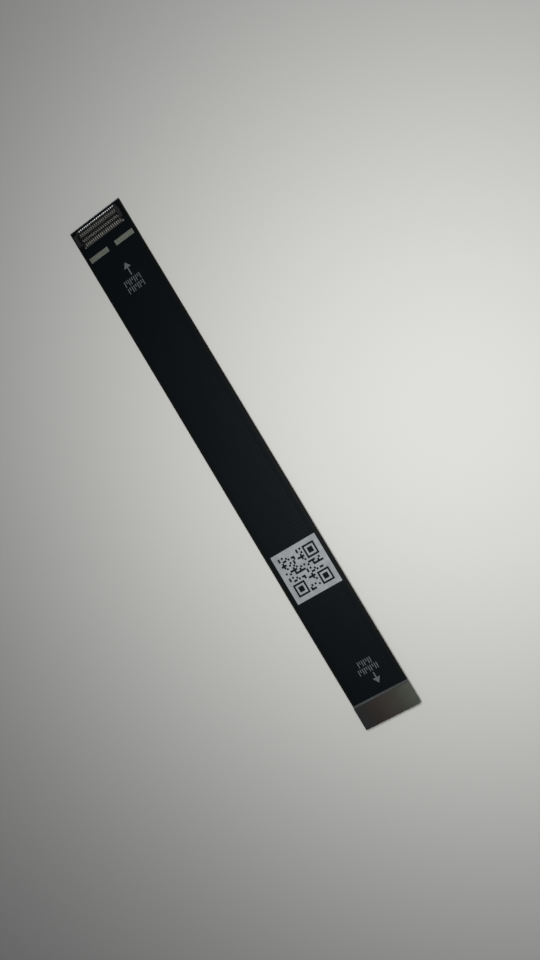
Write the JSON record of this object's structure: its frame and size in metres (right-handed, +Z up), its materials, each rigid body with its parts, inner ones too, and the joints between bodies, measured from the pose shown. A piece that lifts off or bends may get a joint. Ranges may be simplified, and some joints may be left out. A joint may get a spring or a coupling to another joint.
{
  "type": "flexible printed circuit extension cable",
  "caption": "Black flexible circuit strip with a board-to-board receptacle on top of one end and its plug under the other.",
  "frame": {"origin": "centre of the footprint, on the surface that the cable lies on", "axes": "+X from the receptacle end to the plug end, +Y across the cable, +Z up out of the printed face"},
  "size_m": [0.098, 0.011, 0.0013],
  "materials": {
    "polyimide": "amber film",
    "copper_foil": "etched copper foil",
    "black_coverlay": "satin black film",
    "plated_gold": "immersion gold over nickel",
    "stiffener_steel": "rolled stainless strip",
    "bonding_film": "heat-cured adhesive film",
    "connector_moulding": "glass-filled liquid crystal polymer",
    "contact_gold": "stamped phosphor bronze with a gold flash",
    "hold_down_metal": "tin-plated sheet",
    "solder": "satin tin solder",
    "white_ink": "screen-printed ink"
  },
  "bodies": {
    "root": {"core_film": "polyimide", "top_copper": "copper_foil", "bottom_copper": "copper_foil", "receptacle_end_vias": "copper_foil", "plug_end_vias": "copper_foil", "top_coverlay": "black_coverlay", "bottom_coverlay": "black_coverlay", "left_test_pads": "plated_gold", "right_test_pads": "plated_gold", "receptacle_plate": "stiffener_steel", "receptacle_plate_bond": "bonding_film", "plug_plate": "stiffener_steel", "plug_plate_bond": "bonding_film", "receptacle_housing": "connector_moulding", "receptacle_outer_contacts": "contact_gold", "receptacle_inner_contacts": "contact_gold", "receptacle_left_hold_down": "hold_down_metal", "receptacle_right_hold_down": "hold_down_metal", "receptacle_outer_solder": "solder", "receptacle_inner_solder": "solder", "receptacle_left_anchor_solder": "solder", "receptacle_right_anchor_solder": "solder", "plug_housing": "connector_moulding", "plug_outer_contacts": "contact_gold", "plug_inner_contacts": "contact_gold", "plug_left_hold_down": "hold_down_metal", "plug_right_hold_down": "hold_down_metal", "plug_outer_solder": "solder", "plug_inner_solder": "solder", "plug_left_anchor_solder": "solder", "plug_right_anchor_solder": "solder", "code_panel": "white_ink", "receptacle_arrow": "white_ink", "plug_arrow": "white_ink", "receptacle_mark": "white_ink", "plug_mark": "white_ink"}
  },
  "joints": []
}
